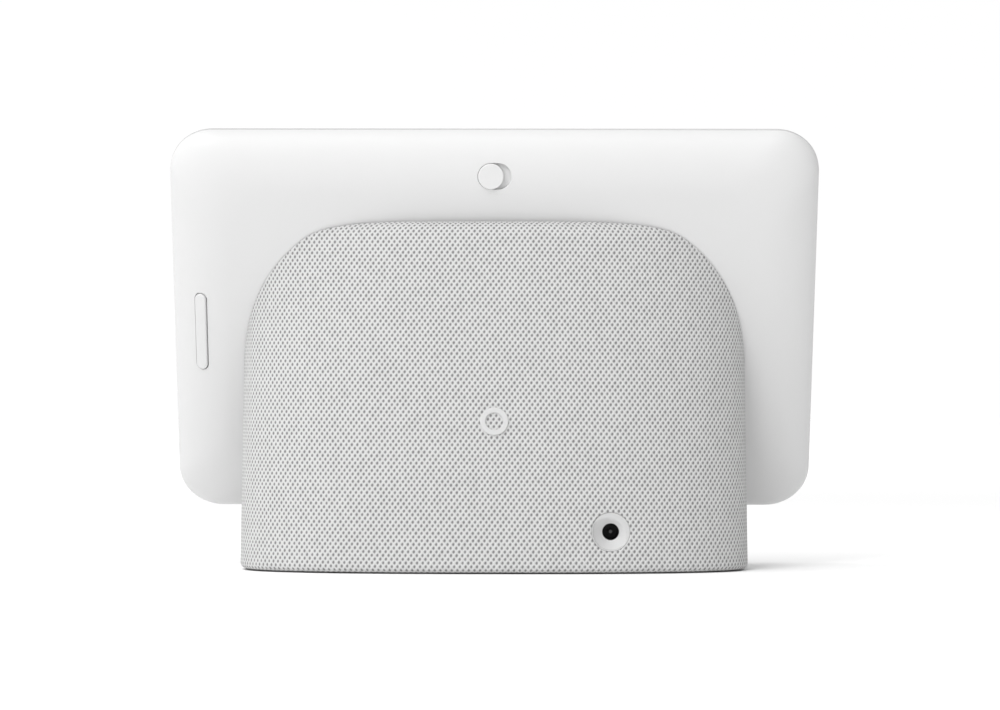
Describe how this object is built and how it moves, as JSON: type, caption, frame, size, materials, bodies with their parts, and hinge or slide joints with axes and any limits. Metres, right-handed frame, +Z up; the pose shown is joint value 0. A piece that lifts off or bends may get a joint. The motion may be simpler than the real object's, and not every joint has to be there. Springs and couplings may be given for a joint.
{
  "type": "smart display",
  "caption": "Smart display with a white tablet-shaped screen leaning back on a fabric-wrapped arched speaker base, with a slide switch, volume rocker and round power inlet.",
  "frame": {"origin": "on the floor, at the middle of the overall footprint", "axes": "+Z up, the screen faces -Y, the rear of the base faces +Y, +X is to the right as seen from the screen's side"},
  "size_m": [0.1774, 0.0696, 0.1204],
  "materials": {
    "glass": "polished clear",
    "white_ink": "printed border",
    "screen_film": "dark, switched off",
    "adhesive": "foam tape",
    "sheet_metal": "satin",
    "grey_plastic": "moulded",
    "thermal_gum": "soft pad",
    "green_board": "solder mask",
    "tin_plate": "satin",
    "white_plastic": "fine matte",
    "black_plastic": "moulded",
    "screw_steel": "zinc plated",
    "flex_film": "polyimide",
    "knit_cloth": "light grey melange knit",
    "mesh_cloth": "fine acoustic cloth",
    "magnet_iron": "plated",
    "basket_plastic": "moulded",
    "coil_copper": "enamelled wire",
    "cone_paper": "pressed pulp",
    "surround_rubber": "smooth",
    "ballast_steel": "blackened",
    "base_plastic": "moulded",
    "foot_rubber": "light grey silicone",
    "wire_jacket": "insulated",
    "badge_plastic": "plain"
  },
  "bodies": {
    "display": {"front_glass": "glass", "bezel_mask": "white_ink", "touch_film": "screen_film", "glass_adhesive": "adhesive", "lcd_panel": "screen_film", "backlight_unit": "sheet_metal", "mid_frame": "grey_plastic", "heat_spreader": "sheet_metal", "thermal_pad": "thermal_gum", "main_board": "green_board", "shield_cans": "tin_plate", "radar_board": "green_board", "light_sensor": "green_board", "mic_boards": "green_board", "mic_gaskets": "adhesive", "rear_housing": "white_plastic", "housing_screws": "screw_steel", "mute_switch_body": "tin_plate", "mute_board": "green_board", "volume_board": "green_board", "volume_domes": "tin_plate", "neck_bracket": "sheet_metal", "neck_screws": "screw_steel", "neck_flex": "flex_film", "fabric_sleeve": "knit_cloth", "base_shell": "white_plastic", "acoustic_mesh": "mesh_cloth", "speaker_enclosure": "black_plastic", "speaker_baffle": "grey_plastic", "speaker_gasket": "adhesive", "speaker_frame": "basket_plastic", "speaker_yoke": "magnet_iron", "speaker_magnet": "magnet_iron", "speaker_top_plate": "magnet_iron", "speaker_spider": "cone_paper", "speaker_surround": "surround_rubber", "speaker_screws": "screw_steel", "ballast_plate": "ballast_steel", "base_plate": "base_plastic", "rubber_foot": "foot_rubber", "base_screws": "screw_steel", "inlet_dish": "white_plastic", "dc_jack_body": "black_plastic", "dc_jack_pin": "screw_steel", "power_board": "green_board", "speaker_wires": "wire_jacket", "badge": "badge_plastic"},
    "mute_slider": {"mute_knob": "white_plastic", "mute_carrier": "grey_plastic", "mute_lever": "black_plastic"},
    "volume_key": {"volume_rocker": "white_plastic"},
    "speaker_moving": {"speaker_cone": "cone_paper", "dust_cap": "cone_paper", "voice_coil": "coil_copper"}
  },
  "joints": [
    {"name": "mute_slide", "type": "slide", "parent": "display", "child": "mute_slider", "axis": [-1, 0, 0], "range_m": [0, 0.002]},
    {"name": "volume_rock", "type": "hinge", "parent": "display", "child": "volume_key", "pos_m": [0.08017, -0.00584, 0.06609], "axis": [0.9516, -0.2808, 0.125], "range_deg": [-1.5, 1.5], "stiffness_Nm_per_rad": 0.6, "deforming": ["volume_domes"]},
    {"name": "cone_travel", "type": "slide", "parent": "display", "child": "speaker_moving", "axis": [0, 0.9799, 0.1994], "range_m": [-0.0015, 0.0015], "stiffness_N_per_m": 1200, "deforming": ["speaker_surround", "speaker_spider"]}
  ]
}
